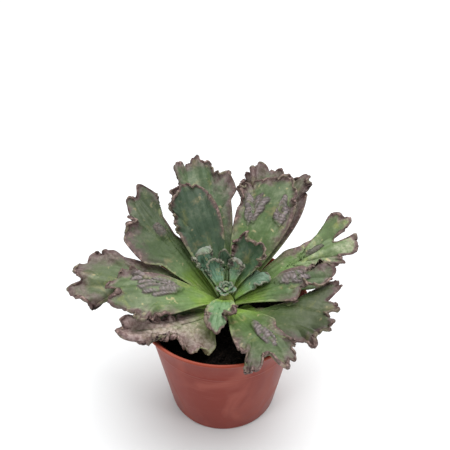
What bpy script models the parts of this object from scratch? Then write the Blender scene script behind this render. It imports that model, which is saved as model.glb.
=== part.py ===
"""An echeveria with wavy, warted leaves in a round plastic nursery pot.

The pot stands on z = 0 with its axis on z, and the photographed side faces -Y.
Every leaf is one blade that grows from the stem.  Its middle surface comes from
a formula over the blade, and Solidify gives that surface its flesh.
"""
import math

import bmesh
import bpy
import numpy as np

MM = 0.001

# Pot, in metres
POT_HEIGHT = 0.092
RIM_RADIUS = 0.060
LIP_HEIGHT = 0.0022
FLARE_HEIGHT = 0.0095
WALL_TOP_RADIUS = 0.0535
BASE_RADIUS = 0.0372
FOOT_ROUND = 0.0025
WALL = 0.0014
FLOOR = 0.0018
DRAIN_HOLES = 6
DRAIN_RADIUS = 0.0035
DRAIN_RING = 0.025
TURNED_STEPS = 48

# Soil and stem
SOIL_BELOW_RIM = 0.013
LUMP = 0.0012
GAP = 0.0003
STEM_X = 0.002
STEM_RADIUS = 0.0065
STEM_DEPTH = 0.016
STEM_TOP = 0.005
STEM_STEPS = 20

# Leaves.  The frill's crests fan out from a hub on the rib, and it begins some
# way along the edge.  A fold along the rib has a soft radius.
HUB = 0.45
FRILL_START = 0.38
FRILL_GROWS = 0.25
SECOND_RIPPLE = 0.25
SCALLOP = 0.4
FULL_FRILL_WIDTH = 10.0
FOLD_RADIUS = 2.0
RIB_STEPS = 48
BASE_HALF = 1.0
LEAF_FLESH = 0.0032
INNER_FLESH = 0.0022
EDGE_FLESH = 0.0015
LEAF_ROWS = 16
LEAF_COLUMNS = 10
INNER_ROWS = 8
INNER_COLUMNS = 6
RELAX = 0.3


def leaf(az, up, length, width, rise, tip, **more):
    """One leaf's shape: mm and degrees, with up as the height of its base over the pot's rim."""
    shape = dict(
        az=az, up=up, length=length, width=width, rise=rise, tip=tip,
        turn=0.0, roll=0.0, lean=0.0, neck=3.2, widest=0.74, shoulder=0.38, flare=0.65, arch=0.13,
        frill=3.0, left=1.0, right=1.0, wave=22.0, phase=0.2, cup=0.1, fold=0.0, warts=(),
    )
    shape.update(more)
    return shape


# Where each leaf points, how it rises and how its edge waves.  Warts are raised
# ridges: place along and across the blade, their two half lengths and the height.
LEAVES = {
    "leaf_01": leaf(107, -8.9, 110, 43, 48, 36, neck=2.8, cup=0.25, phase=0.4, arch=0.06,
                    shoulder=0.15),
    "leaf_02": leaf(117, -1.5, 84, 34, 50, 42, roll=-8, cup=0.3, frill=2.0, phase=1.4),
    "leaf_03": leaf(61, -10, 112, 46, 46, 34, neck=2.8, lean=-0.12, roll=8, cup=0.2, phase=2.0, arch=0.08,
                    shoulder=0.15),
    "leaf_04": leaf(57, -3, 95, 42, 49, 40, roll=4, cup=0.15, frill=2.5, phase=3.0, shoulder=0.2,
                    warts=((0.72, 0.45, 0.17, 0.3, 3.0), (0.74, -0.5, 0.12, 0.25, 3.0))),
    "leaf_05": leaf(150, -4.5, 97, 32, 41, 36, turn=-14, roll=-8, lean=0.2, phase=0.6, right=0.1,
                    shoulder=0.5, warts=((0.62, -0.1, 0.06, 0.22, 2.5),)),
    "leaf_06": leaf(182, -8, 100, 43, 33, 4, roll=-22, frill=3.5, phase=0.6),
    "leaf_07": leaf(195, -0.5, 70, 37, 33, 5, roll=-12, lean=0.12, frill=2.5, phase=2.2,
                    warts=((0.62, -0.35, 0.3, 0.25, 3.5), (0.45, 0.3, 0.16, 0.25, 2.5))),
    "leaf_08": leaf(199, -11, 50, 24, 18, 8, frill=1.5),
    "leaf_09": leaf(236, -6.5, 78, 26, 19, 10, turn=-58, lean=0.25, cup=0.0, fold=18, widest=0.38,
                    shoulder=0.3, phase=0.0),
    "leaf_10": leaf(261, 3.1, 36, 22, 42, -30, roll=10, cup=0.3, frill=2.0),
    "leaf_11": leaf(297, -4, 71, 38, 26, -2, shoulder=0.1, arch=0.05,
                    warts=((0.6, 0.1, 0.22, 0.2, 3.0),)),
    "leaf_12": leaf(338, -9, 70, 48, 28, 0, roll=9, frill=3.5, shoulder=0.05, arch=0.03),
    "leaf_13": leaf(-2.5, -2, 72, 27, 28, 8.5, roll=8, frill=2.2,
                    warts=((0.66, 0.25, 0.2, 0.35, 3.0),)),
    "leaf_14": leaf(22, -6, 91, 34, 30, 18, roll=18, lean=-0.15, widest=0.98, shoulder=0.1, flare=2.6,
                    arch=0.05, frill=2.2, warts=((0.66, 0.0, 0.12, 0.3, 2.0),)),
    "inner_leaf_1": leaf(137, 1, 45, 15, 57, 54, neck=2.0, lean=0.1, cup=0.5, frill=1.0, wave=12),
    "inner_leaf_2": leaf(49, 1.6, 48, 25, 50, 44, neck=2.0, lean=-0.25, cup=0.6, frill=1.0, wave=12),
    "inner_leaf_3": leaf(130, 4.1, 29, 14, 60, 56, neck=2.0, cup=0.5, frill=0.6, wave=10),
    "inner_leaf_4": leaf(57, 4.2, 29, 15, 60, 56, neck=2.0, cup=0.5, frill=0.6, wave=10),
    "inner_leaf_5": leaf(12, 0.5, 33, 12, 38, 18, neck=1.6, frill=0.6, wave=10),
    "inner_leaf_6": leaf(94, 2, 33, 8, 59, 57, neck=1.6, frill=0.8, wave=12),
}

# Heart: azimuth, length, width and rise of each tiny leaf, in degrees and mm
HEART_LEAVES = (
    (203, 10, 7.1, 31), (267, 9, 7.1, 27), (335, 11, 8.1, 33),
    (30, 9, 7.1, 58), (90, 9, 7.1, 66), (150, 9, 7.1, 54),
)
HEART_RADIUS = 0.0032
HEART_FLESH = 0.0014
HEART_RING = 1.2
MERGE = 0.00006


def stem_radius(up):
    """The stem narrows towards its top: its radius at a height over the rim, both in mm."""
    return float(np.interp(up, (-6.0, 0.0, STEM_TOP / MM), (STEM_RADIUS / MM, 5.5, 2.8)))


def ease(x):
    x = np.clip(x, 0.0, 1.0)
    return x * x * (3 - 2 * x)


def rib(shape):
    """The leaf's rib: places along it, its points, and its forward, left and upward directions."""
    s = np.linspace(0, 1, RIB_STEPS)
    heading = np.radians(shape["az"] + shape["turn"] * s)
    climb = np.radians(shape["rise"] + (shape["tip"] - shape["rise"]) * s)
    forward = np.stack([np.cos(climb) * np.cos(heading), np.cos(climb) * np.sin(heading), np.sin(climb)], 1)
    step = shape["length"] / (RIB_STEPS - 1)
    points = np.vstack([np.zeros(3), np.cumsum((forward[1:] + forward[:-1]) / 2 * step, axis=0)])
    start = stem_radius(shape["up"]) + GAP / MM + BASE_HALF * math.sin(math.radians(shape["rise"]))
    az = math.radians(shape["az"])
    points += (STEM_X / MM + start * math.cos(az), start * math.sin(az), POT_HEIGHT / MM + shape["up"])
    left = np.stack([-np.sin(heading), np.cos(heading), np.zeros(RIB_STEPS)], 1)
    upward = np.cross(forward, left)
    roll = np.radians(shape["roll"]) * ease(s / 0.6)[:, None]
    rolled_left = left * np.cos(roll) + upward * np.sin(roll)
    rolled_up = upward * np.cos(roll) - left * np.sin(roll)
    return s, points, forward, rolled_left, rolled_up


def half_width(shape, u):
    grow = ease(u / shape["widest"]) ** shape["flare"]
    past = np.clip((u - shape["widest"]) / max(1 - shape["widest"], 0.03), 0, 1)
    wide = shape["neck"] + (shape["width"] / 2 - shape["neck"]) * grow
    return wide * (1 - shape["shoulder"] * past ** 2)


def way_round_edge(shape, u, v):
    """How near the edge a place is, 0 to 1, and its way along the edge in mm, left side first."""
    side = np.abs(v)
    end = np.clip((u - HUB) / (1 - HUB), 0, 1)
    near = np.minimum((side ** 5 + end ** 5) ** 0.2, 1.15)
    reach = np.maximum(np.maximum(side, end), 1e-6)
    u_edge = np.where(end > 0, HUB + (1 - HUB) * end / reach, u)
    half_tip = half_width(shape, np.ones(1))[0]
    way = np.where(side >= end, u_edge * shape["length"], shape["length"] + half_tip * (1 - side / reach))
    whole = 2 * (shape["length"] + half_tip)
    return near, end, np.where(v >= 0, way, whole - way), whole


def blade(shape, u, v):
    """Middle surface of a leaf at u, 0 to 1 along it, and v, -1 to 1 across it, in mm."""
    s, points, forward, left, upward = rib(shape)
    along = u * (1 - shape["arch"] * np.abs(v) ** 3 * u)
    spine, ahead, side_way, up_way = (
        np.stack([np.interp(along, s, table[:, k]) for k in range(3)], -1)
        for table in (points, forward, left, upward)
    )
    half = half_width(shape, along) * (1 + shape["lean"] * np.sign(v) * ease(u / 0.4))
    near, end, way, whole = way_round_edge(shape, u, v)
    calm = np.where(v >= 0, shape["left"], shape["right"])
    calm = calm + (1 - calm) * ease((end - 0.55) / 0.45) * 0.85
    started = ease((np.minimum(way, whole - way) / shape["length"] - FRILL_START) / FRILL_GROWS)
    size = shape["frill"] * started * calm * ease((near - 0.4) / 0.6) ** 1.2
    size = size * np.minimum(half / FULL_FRILL_WIDTH, 1)
    turn = 2 * np.pi * way / shape["wave"] + shape["phase"]
    turn = turn + 0.6 * np.sin(2 * np.pi * way / (2.7 * shape["wave"]) + 1.3 * shape["phase"])
    lift = size * (np.sin(turn) + SECOND_RIPPLE * np.sin(1.9 * turn + 1.7))
    outward = SCALLOP * size * np.cos(turn)
    lift = lift + shape["cup"] * half * v ** 2 * (1 - 0.5 * ease(u))
    for wart_u, wart_v, long_u, long_v, height in shape["warts"]:
        away = ((u - wart_u) / long_u) ** 2 + ((v - wart_v) / long_v) ** 2
        lift = lift + height * ease(1 - away)
    on_side = np.where(np.abs(v) >= end, 1.0, ease(1 - 3 * (end - np.abs(v))))
    across = v * half + np.sign(v) * outward * on_side
    fold = np.radians(np.where(v >= 0, shape["fold"], 0.0)) * ease(u / 0.35)
    drop = np.sin(fold) * (np.hypot(across, FOLD_RADIUS) - FOLD_RADIUS)
    across_folded = across * np.cos(fold) + lift * np.sin(fold) * np.sign(v)
    lift_folded = lift * np.cos(fold) - drop
    return (
        spine + side_way * across_folded[..., None] + up_way * lift_folded[..., None]
        + ahead * (outward * (1 - on_side))[..., None]
    )


def material(name, colour, roughness):
    """A material that isn't metallic, from its colour and roughness."""
    made = bpy.data.materials.new(name)
    made.use_nodes = True
    shader = made.node_tree.nodes["Principled BSDF"]
    shader.inputs["Base Color"].default_value = (*colour, 1.0)
    shader.inputs["Roughness"].default_value = roughness
    shader.inputs["Metallic"].default_value = 0.0
    return made


def add_object(name, mesh, collection, finish=None):
    made = bpy.data.objects.new(name, mesh)
    collection.objects.link(made)
    if finish:
        mesh.materials.append(finish)
    return made


def keep_evaluated(made):
    """Apply an object's modifiers."""
    graph = bpy.context.evaluated_depsgraph_get()
    mesh = bpy.data.meshes.new_from_object(made.evaluated_get(graph))
    made.modifiers.clear()
    made.data = mesh


def turned(name, profile, steps, collection, finish=None):
    """A body of revolution from its profile of radius and height, read down its outer side."""
    mesh = bpy.data.meshes.new(name)
    mesh.from_pydata([(r, 0, z) for r, z in profile], [(i, i + 1) for i in range(len(profile) - 1)], [])
    made = add_object(name, mesh, collection, finish)
    screw = made.modifiers.new("turn", "SCREW")
    screw.steps = steps
    screw.render_steps = steps
    screw.use_merge_vertices = True
    screw.merge_threshold = 0.00001
    screw.use_normal_calculate = False
    return made


def arc(centre, radius, start, end, count):
    """Points on an arc of a profile, with angles in degrees from +X."""
    return [
        (centre[0] + radius * math.cos(math.radians(a)), centre[1] + radius * math.sin(math.radians(a)))
        for a in np.linspace(start, end, count)
    ]


def outer_profile():
    """The pot's outside, from its lip down to the edge of its flat base."""
    lip_bottom = POT_HEIGHT - LIP_HEIGHT
    flare_bottom = POT_HEIGHT - FLARE_HEIGHT
    points = arc((RIM_RADIUS - LIP_HEIGHT / 2, POT_HEIGHT - LIP_HEIGHT / 2), LIP_HEIGHT / 2, 90, -60, 5)
    points += [(RIM_RADIUS - 1.3 * MM, lip_bottom - 0.3 * MM)]
    points += [(WALL_TOP_RADIUS + 1.6 * MM, flare_bottom + 3.0 * MM)]
    points += [(WALL_TOP_RADIUS, flare_bottom)]
    foot = (BASE_RADIUS + 0.3 * MM, FOOT_ROUND)
    points += arc(foot, FOOT_ROUND, -8, -90, 4)
    return points


def wall_radius(z):
    """The outer radius of the tapered wall at a height."""
    heights = (FOOT_ROUND, POT_HEIGHT - FLARE_HEIGHT, POT_HEIGHT)
    radii = (BASE_RADIUS + 0.3 * MM + FOOT_ROUND, WALL_TOP_RADIUS, RIM_RADIUS - 0.8 * MM)
    return float(np.interp(z, heights, radii))


def make_pot(collection, cutters, finish):
    inner = [(0.0, FLOOR), (BASE_RADIUS - 1.0 * MM, FLOOR)]
    inner += [(wall_radius(0.006) - WALL, 0.006)]
    inner += [(WALL_TOP_RADIUS - WALL, POT_HEIGHT - FLARE_HEIGHT)]
    inner += [(RIM_RADIUS - 2.6 * MM, POT_HEIGHT - LIP_HEIGHT)]
    inner += [(RIM_RADIUS - 2.2 * MM, POT_HEIGHT - 0.4 * MM)]
    profile = inner + outer_profile() + [(0.0, 0.0)]
    pot = turned("pot", profile, TURNED_STEPS, collection, finish)
    for hole in range(DRAIN_HOLES):
        angle = 2 * math.pi * (hole + 0.55) / DRAIN_HOLES
        mesh = bpy.data.meshes.new("drain_cutter")
        shape = bmesh.new()
        bmesh.ops.create_cone(
            shape, cap_ends=True, segments=12, radius1=DRAIN_RADIUS, radius2=DRAIN_RADIUS, depth=4 * FLOOR)
        shape.to_mesh(mesh)
        shape.free()
        cutter = add_object(f"drain_cutter_{hole}", mesh, cutters)
        cutter.location = (DRAIN_RING * math.cos(angle), DRAIN_RING * math.sin(angle), 0)
        cutter.rotation_euler.z = angle
        cutter.display_type = "WIRE"
        cutter.hide_render = True
        cut = pot.modifiers.new(f"drain_{hole}", "BOOLEAN")
        cut.operation = "DIFFERENCE"
        cut.object = cutter
    return pot


def make_soil(collection, finish):
    """Peat that fills the pot, lumpy on top, with a plain hole for the stem."""
    top = POT_HEIGHT - SOIL_BELOW_RIM
    hole = STEM_RADIUS + GAP
    low = FLOOR + GAP
    side = WALL + 1.4 * GAP
    surface = np.linspace(hole, wall_radius(top) - side, 7)
    profile = [(0.0, top - STEM_DEPTH), (hole, top - STEM_DEPTH)]
    profile += [(r, top) for r in surface]
    profile += [(wall_radius(0.006) - side, 0.006), (BASE_RADIUS - 1.3 * MM, low), (0.0, low)]
    soil = turned("potting_soil", profile, TURNED_STEPS, collection, finish)
    keep_evaluated(soil)
    for vertex in soil.data.vertices:
        x, y, z = vertex.co
        radius = math.hypot(x, y)
        if z > top - MM and surface[0] + MM < radius < surface[-1] - MM:
            wave = math.sin(430 * x + 1.3) * math.cos(510 * y) + 0.6 * math.sin(900 * x - 700 * y + 0.4)
            vertex.co.z += LUMP * wave
        if radius < surface[0] + MM:
            vertex.co.x += STEM_X
    return soil


def make_stem(collection, finish):
    top = POT_HEIGHT + STEM_TOP
    bottom = POT_HEIGHT - SOIL_BELOW_RIM - STEM_DEPTH + GAP
    profile = [(0.0, top), (stem_radius(STEM_TOP / MM) * MM, top - 0.5 * MM)]
    profile += [(stem_radius(up) * MM, POT_HEIGHT + up * MM) for up in (0.0, -6.0)]
    profile += [(STEM_RADIUS, bottom), (0.0, bottom)]
    stem = turned("stem", profile, STEM_STEPS, collection, finish)
    stem.location.x = STEM_X
    return stem


def blade_mesh(name, place, rows, columns, flesh, edge_flesh):
    """A grid bent by a function of u and v, with each vertex's weight for the flesh and for relaxing."""
    shape = bmesh.new()
    bmesh.ops.create_grid(shape, x_segments=columns, y_segments=rows, size=1.0)
    grid = np.array([vertex.co[:2] for vertex in shape.verts])
    across = grid[:, 0]
    v = across * (1.35 - 0.35 * np.abs(across))
    t = (grid[:, 1] + 1) / 2
    u = 1 - (1 - t) ** 1.25
    for vertex, point in zip(shape.verts, place(u, v)):
        vertex.co = point * MM
    bmesh.ops.triangulate(shape, faces=shape.faces[:])
    mesh = bpy.data.meshes.new(name)
    shape.to_mesh(mesh)
    shape.free()
    mesh.shade_smooth()
    thin = np.maximum(np.abs(v), ease((u - 0.7) / 0.3)) ** 2
    root = 0.65 + 0.35 * ease(u / 0.3)
    weights = {"flesh": (flesh * root + (edge_flesh - flesh * root) * thin) / flesh, "relax": ease(u / 0.4)}
    return mesh, weights


def thicken(made, flesh, weights):
    for name, values in weights.items():
        group = made.vertex_groups.new(name=name)
        for index, weight in enumerate(values):
            group.add([index], float(weight), "REPLACE")
    relax = made.modifiers.new("relax", "SMOOTH")
    relax.vertex_group = "relax"
    relax.factor = RELAX
    relax.iterations = 1
    solid = made.modifiers.new("flesh", "SOLIDIFY")
    solid.thickness = flesh
    solid.offset = 0.0
    solid.vertex_group = "flesh"
    return made


def make_leaf(name, shape, rows, columns, flesh, collection, finish):
    mesh, weights = blade_mesh(name, lambda u, v: blade(shape, u, v), rows, columns, flesh, EDGE_FLESH)
    return thicken(add_object(name, mesh, collection, finish), flesh, weights)


def make_heart(collection, cutters, finish):
    """Tiny leaves grown together on a round growing point."""
    centre = POT_HEIGHT + STEM_TOP + GAP + 0.8 * HEART_RADIUS
    mesh = bpy.data.meshes.new("heart")
    shape = bmesh.new()
    bmesh.ops.create_uvsphere(shape, u_segments=12, v_segments=7, radius=HEART_RADIUS)
    bmesh.ops.bisect_plane(
        shape, geom=shape.verts[:] + shape.edges[:] + shape.faces[:],
        plane_co=(0, 0, -0.8 * HEART_RADIUS), plane_no=(0, 0, -1), clear_outer=True)
    bmesh.ops.holes_fill(shape, edges=[edge for edge in shape.edges if edge.is_boundary])
    shape.to_mesh(mesh)
    shape.free()
    heart = add_object("heart", mesh, collection, finish)
    heart.location = (STEM_X, 0, centre)
    leaflets = bpy.data.collections.new("heart_leaflets")
    cutters.children.link(leaflets)
    for number, (az, length, width, rise) in enumerate(HEART_LEAVES):
        leaflet = leaf(az, 0, length, width, rise, rise + 20, frill=0.0, cup=0.5, neck=1.8)
        start = HEART_RING * np.array([math.cos(math.radians(az)), math.sin(math.radians(az)), 0.0])

        def place(u, v):
            points = blade(leaflet, u, v)
            base = rib(leaflet)[1][0]
            return points - base + start + (STEM_X / MM, 0, centre / MM)

        mesh, weights = blade_mesh("leaflet", place, 4, 4, HEART_FLESH, HEART_FLESH)
        thicken(add_object(f"leaflet_{number}", mesh, leaflets), HEART_FLESH, weights)
    join = heart.modifiers.new("leaflets", "BOOLEAN")
    join.operation = "UNION"
    join.operand_type = "COLLECTION"
    join.collection = leaflets
    keep_evaluated(heart)
    joined = bmesh.new()
    joined.from_mesh(heart.data)
    bmesh.ops.remove_doubles(joined, verts=joined.verts[:], dist=MERGE)
    bmesh.ops.dissolve_degenerate(joined, edges=joined.edges[:], dist=0.00002)
    bmesh.ops.triangulate(joined, faces=joined.faces[:])
    joined.to_mesh(heart.data)
    joined.free()
    heart.data.shade_smooth()
    for leaflet in list(leaflets.objects):
        bpy.data.objects.remove(leaflet)
    bpy.data.collections.remove(leaflets)
    return heart


for old in list(bpy.data.objects):
    bpy.data.objects.remove(old)

plant = bpy.data.collections.new("potted_echeveria")
tools = bpy.data.collections.new("cutters")
bpy.context.scene.collection.children.link(plant)
bpy.context.scene.collection.children.link(tools)

plastic = material("terracotta_plastic", (0.24, 0.065, 0.05), 0.45)
peat = material("peat", (0.012, 0.009, 0.008), 0.95)
bark = material("stem_skin", (0.16, 0.14, 0.06), 0.7)
outer_green = material("grey_green_leaf", (0.16, 0.22, 0.12), 0.5)
inner_green = material("blue_green_leaf", (0.14, 0.27, 0.19), 0.5)

make_pot(plant, tools, plastic)
make_soil(plant, peat)
make_stem(plant, bark)
make_heart(plant, tools, inner_green)
for leaf_name, leaf_shape in LEAVES.items():
    if leaf_name.startswith("inner"):
        make_leaf(leaf_name, leaf_shape, INNER_ROWS, INNER_COLUMNS, INNER_FLESH, plant, inner_green)
    else:
        make_leaf(leaf_name, leaf_shape, LEAF_ROWS, LEAF_COLUMNS, LEAF_FLESH, plant, outer_green)
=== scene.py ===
import math

import bmesh
import bpy
import numpy as np
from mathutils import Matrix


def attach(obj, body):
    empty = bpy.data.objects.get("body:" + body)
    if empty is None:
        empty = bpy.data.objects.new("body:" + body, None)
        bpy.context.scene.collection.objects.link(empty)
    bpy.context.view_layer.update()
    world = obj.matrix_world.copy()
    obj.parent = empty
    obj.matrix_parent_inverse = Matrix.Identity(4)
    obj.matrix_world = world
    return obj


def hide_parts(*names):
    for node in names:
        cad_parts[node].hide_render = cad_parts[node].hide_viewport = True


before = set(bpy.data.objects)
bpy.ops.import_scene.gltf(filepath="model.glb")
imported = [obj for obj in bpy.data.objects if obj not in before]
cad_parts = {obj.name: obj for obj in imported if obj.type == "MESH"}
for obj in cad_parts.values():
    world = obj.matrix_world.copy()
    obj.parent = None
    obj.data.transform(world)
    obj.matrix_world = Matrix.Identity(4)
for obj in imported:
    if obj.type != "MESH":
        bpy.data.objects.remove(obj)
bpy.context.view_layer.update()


# NURSERY POT
# A thin pot of terracotta-brown plastic in one piece: a plain taper with a moulding
# step, a flared mouth with a rounded lip, and drain holes in its base.

MM = 0.001
POT_HEIGHT = 0.092
RIM_RADIUS = 0.060
LIP_HEIGHT = 0.0022
FLARE_HEIGHT = 0.0095
WALL_TOP_RADIUS = 0.0535
BASE_RADIUS = 0.0372
FOOT_ROUND = 0.0025
WALL = 0.0014
FLOOR = 0.0018
INNER_WALL_STARTS = 0.006
STEP_BELOW_RIM = 0.024
POT_STEPS = 180
DRAIN_HOLES = 6
DRAIN_RADIUS = 0.0035
DRAIN_RING = 0.025
FIRST_DRAIN = 0.55
DEEP_TERRACOTTA = (0.148, 0.022, 0.014)
BRIGHT_TERRACOTTA = (0.205, 0.033, 0.022)
PAINTED_SHEEN = (0.29, 0.088, 0.066)
DUST = (0.30, 0.13, 0.10)
RUBBED = (0.30, 0.10, 0.075)
PAINTED_LIP_GLOW = (0.32, 0.075, 0.035)


def add_piece(name, mesh, finish=None):
    """A new object for a mesh, with its material."""
    piece = bpy.data.objects.new(name, mesh)
    bpy.context.scene.collection.objects.link(piece)
    if finish:
        mesh.materials.append(finish)
    return piece


def built_mesh(name, shape):
    """The mesh of a shape that is ready, which ends its building."""
    mesh = bpy.data.meshes.new(name)
    shape.to_mesh(mesh)
    shape.free()
    return mesh


def add_node(tree, kind, values=None, **settings):
    """One shader node: its settings, and the values of its inputs by name or place."""
    node = tree.nodes.new(kind)
    for name, value in settings.items():
        setattr(node, name, value)
    for name, value in (values or {}).items():
        node.inputs[name].default_value = value
    return node


def new_material(name, **values):
    """A material with its shader's plain values; names stand for sockets, with _ for a space."""
    made = bpy.data.materials.new(name)
    made.use_nodes = True
    shader = made.node_tree.nodes["Principled BSDF"]
    for socket, value in values.items():
        shader.inputs[socket.replace("_", " ")].default_value = value
    return made, made.node_tree, shader


def blend_colour(tree, mask, under, over, mode="MIX"):
    """Puts a colour over another by a mask; each colour is a socket or a fixed value."""
    mix = add_node(tree, "ShaderNodeMix", data_type="RGBA", blend_type=mode)
    for place, value in ((0, mask), (6, under), (7, over)):
        if isinstance(value, bpy.types.NodeSocket):
            tree.links.new(value, mix.inputs[place])
        elif place == 0:
            mix.inputs[place].default_value = value
        else:
            mix.inputs[place].default_value = (*value, 1.0)
    return mix.outputs[2]


def maths(tree, operation, first, second=0.0, third=None, clamp=False):
    """A maths node on sockets or fixed numbers."""
    node = add_node(tree, "ShaderNodeMath", operation=operation, use_clamp=clamp)
    for place, value in enumerate((first, second, third)):
        if isinstance(value, bpy.types.NodeSocket):
            tree.links.new(value, node.inputs[place])
        elif value is not None:
            node.inputs[place].default_value = value
    return node.outputs[0]


def span(tree, value, low, high, to_low=0.0, to_high=1.0):
    """Maps a value smoothly from one range to another."""
    node = add_node(tree, "ShaderNodeMapRange", interpolation_type="SMOOTHSTEP")
    for place, number in enumerate((value, low, high, to_low, to_high)):
        if isinstance(number, bpy.types.NodeSocket):
            tree.links.new(number, node.inputs[place])
        else:
            node.inputs[place].default_value = number
    return node.outputs[0]


def new_group(name, takes, gives):
    """A shader node group with its sockets by name and kind, and its two ends."""
    group = bpy.data.node_groups.new(name, "ShaderNodeTree")
    for direction, sockets in (("INPUT", takes), ("OUTPUT", gives)):
        for socket, kind in sockets.items():
            group.interface.new_socket(name=socket, in_out=direction, socket_type="NodeSocket" + kind)
    return group, group.nodes.new("NodeGroupInput").outputs, group.nodes.new("NodeGroupOutput").inputs


def place_group(tree, group, values):
    """A group in a material or in another group, with its own values or linked sockets."""
    node = tree.nodes.new("ShaderNodeGroup")
    node.node_tree = group
    for name, value in values.items():
        socket = node.inputs[name]
        if isinstance(value, bpy.types.NodeSocket):
            tree.links.new(value, socket)
        else:
            socket.default_value = (*value, 1.0) if socket.type == "RGBA" else value
    return node.outputs


grain_group, taken, given = new_group(
    "grain",
    {"Place": "Vector", "Stretch": "Vector", "Scale": "Float", "Detail": "Float", "Roughness": "Float",
     "Warp": "Float"},
    {"Amount": "Float"})
stretched = add_node(grain_group, "ShaderNodeMapping")
noise = add_node(grain_group, "ShaderNodeTexNoise")
for name, socket in (
        ("Place", stretched.inputs["Vector"]), ("Stretch", stretched.inputs["Scale"]),
        ("Scale", noise.inputs["Scale"]), ("Detail", noise.inputs["Detail"]),
        ("Roughness", noise.inputs["Roughness"]), ("Warp", noise.inputs["Distortion"])):
    grain_group.links.new(taken[name], socket)
grain_group.links.new(stretched.outputs["Vector"], noise.inputs["Vector"])
grain_group.links.new(noise.outputs["Fac"], given["Amount"])


def grain(tree, place, scale, detail=3.0, roughness=0.55, stretch=(1.0, 1.0, 1.0), warp=0.0):
    """The grain group over a place's coordinates, stretched along its axes."""
    values = {"Place": place, "Stretch": stretch, "Scale": scale, "Detail": detail,
              "Roughness": roughness, "Warp": warp}
    return place_group(tree, grain_group, values)["Amount"]


def dent(tree, shader, height, strength, distance):
    """Feeds a height to the shader's normal."""
    bump = add_node(tree, "ShaderNodeBump", {"Strength": strength, "Distance": distance})
    tree.links.new(height, bump.inputs["Height"])
    tree.links.new(bump.outputs["Normal"], shader.inputs["Normal"])


def arc(centre, radius, start, end, count):
    """Points of an arc in a section, from one angle to another in degrees."""
    turns = [math.radians(turn) for turn in np.linspace(start, end, count)]
    return [(centre[0] + radius * math.cos(turn), centre[1] + radius * math.sin(turn)) for turn in turns]


def pot_wall_radius(z):
    """The radius of the pot's outside at a height."""
    heights = (FOOT_ROUND, POT_HEIGHT - FLARE_HEIGHT, POT_HEIGHT)
    radii = (BASE_RADIUS + 0.3 * MM + FOOT_ROUND, WALL_TOP_RADIUS, RIM_RADIUS - 0.8 * MM)
    return float(np.interp(z, heights, radii))


def pot_profile():
    """The pot's section from the middle of its floor up the inside and down the outside."""
    lip = (RIM_RADIUS - LIP_HEIGHT / 2, POT_HEIGHT - LIP_HEIGHT / 2)
    flare_bottom = POT_HEIGHT - FLARE_HEIGHT
    lip_bottom = POT_HEIGHT - LIP_HEIGHT
    inner = [
        (0.0, FLOOR),
        (BASE_RADIUS - 1.6 * MM, FLOOR),
        (BASE_RADIUS - 0.4 * MM, FLOOR + 0.5 * MM),
        (pot_wall_radius(INNER_WALL_STARTS) - WALL, INNER_WALL_STARTS),
        (WALL_TOP_RADIUS - WALL, flare_bottom),
        (WALL_TOP_RADIUS - WALL + 1.1 * MM, flare_bottom + 2.2 * MM),
        (RIM_RADIUS - 2.7 * MM, lip_bottom),
    ]
    outer = arc(lip, LIP_HEIGHT / 2, 130, -60, 14)
    outer += [
        (RIM_RADIUS - 1.25 * MM, lip_bottom - 0.15 * MM),
        (RIM_RADIUS - 1.6 * MM, lip_bottom - 0.7 * MM),
        (WALL_TOP_RADIUS + 2.6 * MM, flare_bottom + 4.0 * MM),
        (WALL_TOP_RADIUS + 1.0 * MM, flare_bottom + 1.7 * MM),
        (WALL_TOP_RADIUS + 0.2 * MM, flare_bottom),
    ]
    step = POT_HEIGHT - STEP_BELOW_RIM
    for up, proud in ((0.8, 0.0), (0.35, 0.12), (-0.1, 0.12), (-0.5, -0.08), (-1.2, 0.0)):
        z = step + up * MM
        outer += [(pot_wall_radius(z) + proud * MM, z)]
    foot = (BASE_RADIUS + 0.3 * MM, FOOT_ROUND)
    outer += arc(foot, FOOT_ROUND, -8, -90, 9)
    outer += [(BASE_RADIUS - 3.2 * MM, 0.0), (BASE_RADIUS - 4.0 * MM, 0.5 * MM), (0.0, 0.5 * MM)]
    return inner + outer


def turned_piece(name, profile, steps, finish):
    """A body of revolution, read down its outer side, with its middle joined."""
    mesh = bpy.data.meshes.new(name)
    lines = [(number, number + 1) for number in range(len(profile) - 1)]
    mesh.from_pydata([(radius, 0, z) for radius, z in profile], lines, [])
    piece = add_piece(name, mesh, finish)
    screw = piece.modifiers.new("turn", "SCREW")
    screw.steps = steps
    screw.render_steps = steps
    screw.use_merge_vertices = True
    screw.merge_threshold = 0.00001
    screw.use_normal_calculate = False
    return piece


def apply_modifiers(piece):
    """Gives a piece the mesh that its modifiers make, and takes them off."""
    graph = bpy.context.evaluated_depsgraph_get()
    mesh = bpy.data.meshes.new_from_object(piece.evaluated_get(graph))
    piece.modifiers.clear()
    piece.data = mesh


plastic, tree, shader = new_material("terracotta_plastic", Roughness=0.5, Specular_IOR_Level=0.14)
where = add_node(tree, "ShaderNodeTexCoord").outputs["Object"]
split = add_node(tree, "ShaderNodeSeparateXYZ")
tree.links.new(where, split.inputs[0])
height = split.outputs["Z"]
clouds = grain(tree, where, 22, stretch=(1, 1, 0.6))
colour = blend_colour(tree, clouds, DEEP_TERRACOTTA, BRIGHT_TERRACOTTA)
# Pale cloudy patches: a painted sheen, soft reflections painted into the pot's colour on every side; the
# same patches also vary its roughness.
painted_sheen_mask = span(tree, grain(tree, where, 34, roughness=0.4, stretch=(1, 1, 0.7), warp=1.2), 0.48, 0.68)
colour = blend_colour(tree, maths(tree, "MULTIPLY", painted_sheen_mask, 0.5), colour, PAINTED_SHEEN)
dust = span(tree, grain(tree, where, 55, detail=6, roughness=0.7), 0.5, 0.75, 0.0, 0.10)
colour = blend_colour(tree, dust, colour, DUST)
rubbed = span(tree, grain(tree, where, 30, detail=4, stretch=(1, 1, 14)), 0.58, 0.72, 0.0, 0.2)
colour = blend_colour(tree, rubbed, colour, RUBBED)
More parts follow.
